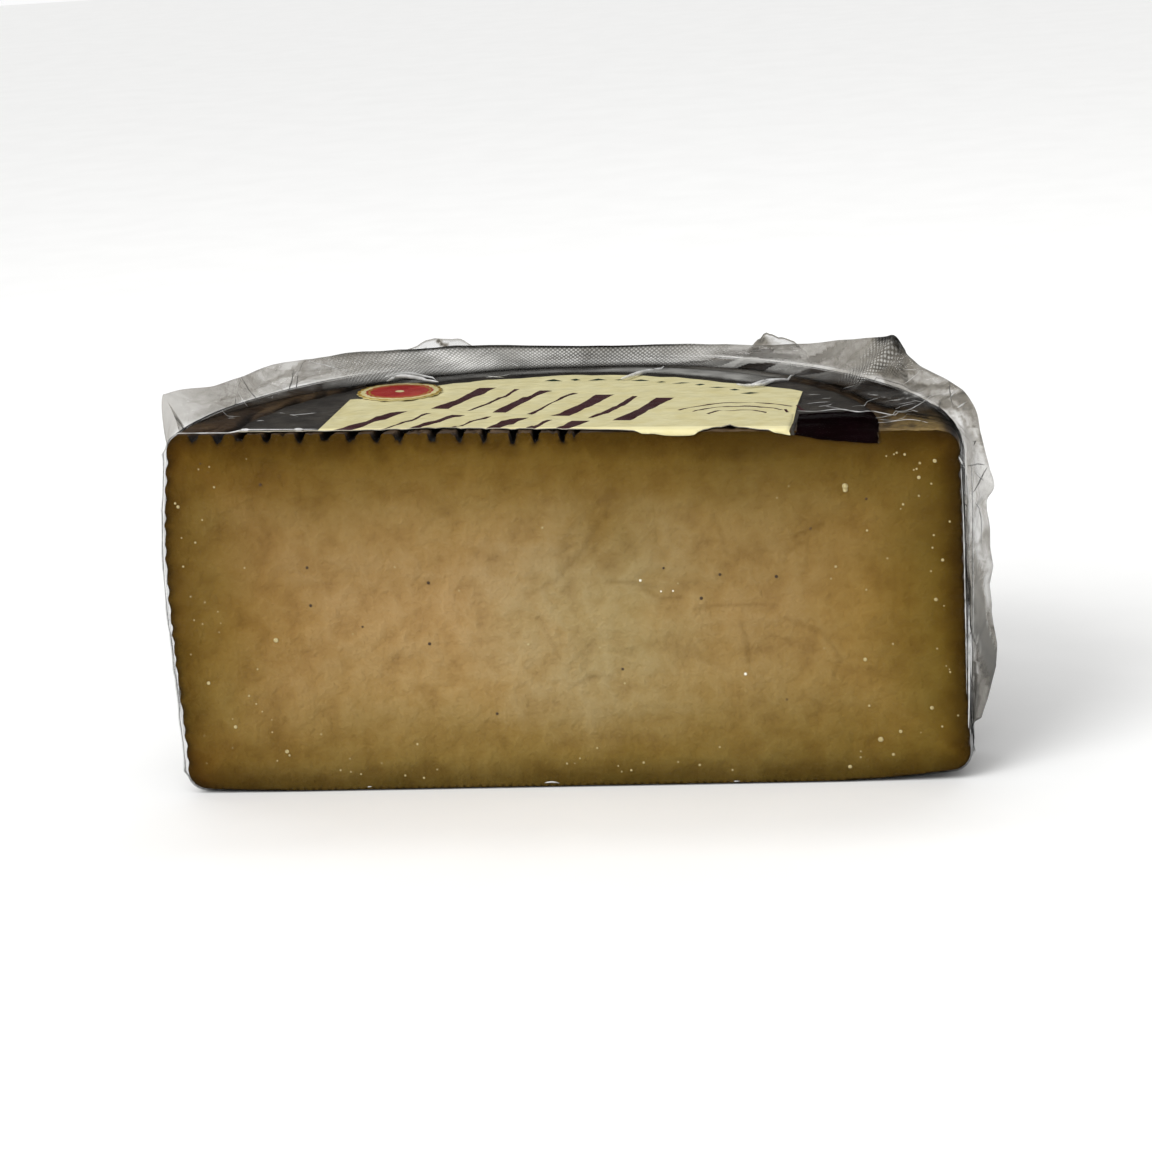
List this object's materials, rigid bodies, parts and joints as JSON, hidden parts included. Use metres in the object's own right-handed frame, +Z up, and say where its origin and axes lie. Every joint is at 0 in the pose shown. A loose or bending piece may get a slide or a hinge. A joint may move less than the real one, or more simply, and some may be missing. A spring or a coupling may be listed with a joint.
{
  "type": "half manchego cheese wheel",
  "caption": "Half a wheel of cured cheese with a ribbed rind, a round paper label and a seal, vacuum packed in clear film.",
  "frame": {"origin": "middle of the bounding box, on the surface the cheese stands on", "axes": "+Z up, the cut face looks along -Y, +X along the cut"},
  "size_m": [0.213, 0.1058, 0.1048],
  "materials": {
    "cheese": "cut paste of a cured cheese, straw to tan, with a dark brown ribbed rind",
    "label": "slate black printed paper with a cream field",
    "seal": "glossy red paper disc with a gold and cream ring",
    "film": "clear crumpled vacuum film, embossed at the back"
  },
  "bodies": {
    "root": {"cheese": "cheese", "label": "label", "seal": "seal", "bag": "film"}
  },
  "joints": []
}
